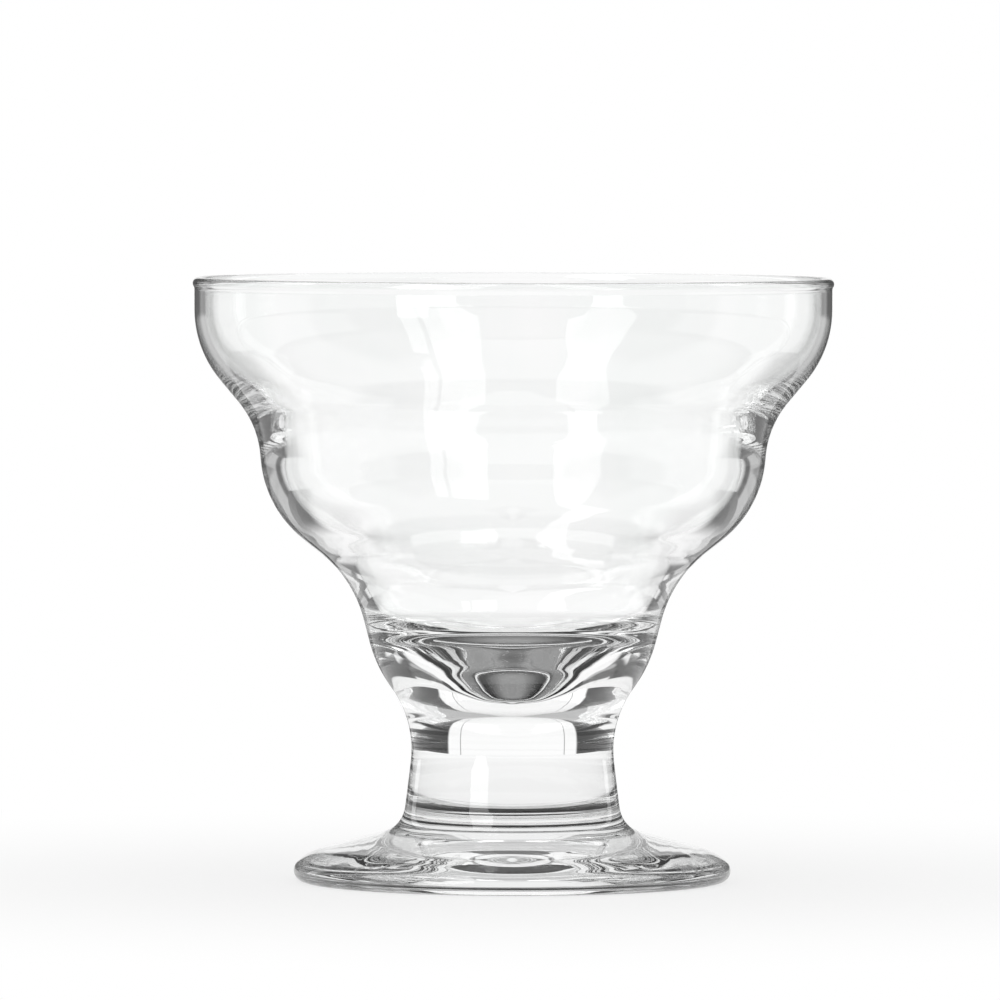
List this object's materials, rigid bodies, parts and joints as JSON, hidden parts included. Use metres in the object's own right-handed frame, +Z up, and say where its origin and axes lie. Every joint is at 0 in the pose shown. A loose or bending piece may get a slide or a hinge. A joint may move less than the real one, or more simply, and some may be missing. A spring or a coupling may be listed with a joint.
{
  "type": "parfait glass",
  "caption": "Clear pressed dessert glass: a wide bowl in waved tiers with a rolled rim, on a short solid stem and a flared solid foot.",
  "frame": {"origin": "centre of the foot's base, on the surface that the glass stands on", "axes": "+Z up along the axis of the glass, from the foot to the rim; X and Y are alike, as the glass is a body of revolution"},
  "size_m": [0.104, 0.104, 0.098],
  "materials": {
    "clear_glass": "clear, fire polished"
  },
  "bodies": {
    "root": {"bowl": "clear_glass", "stem": "clear_glass", "foot": "clear_glass"}
  },
  "joints": []
}
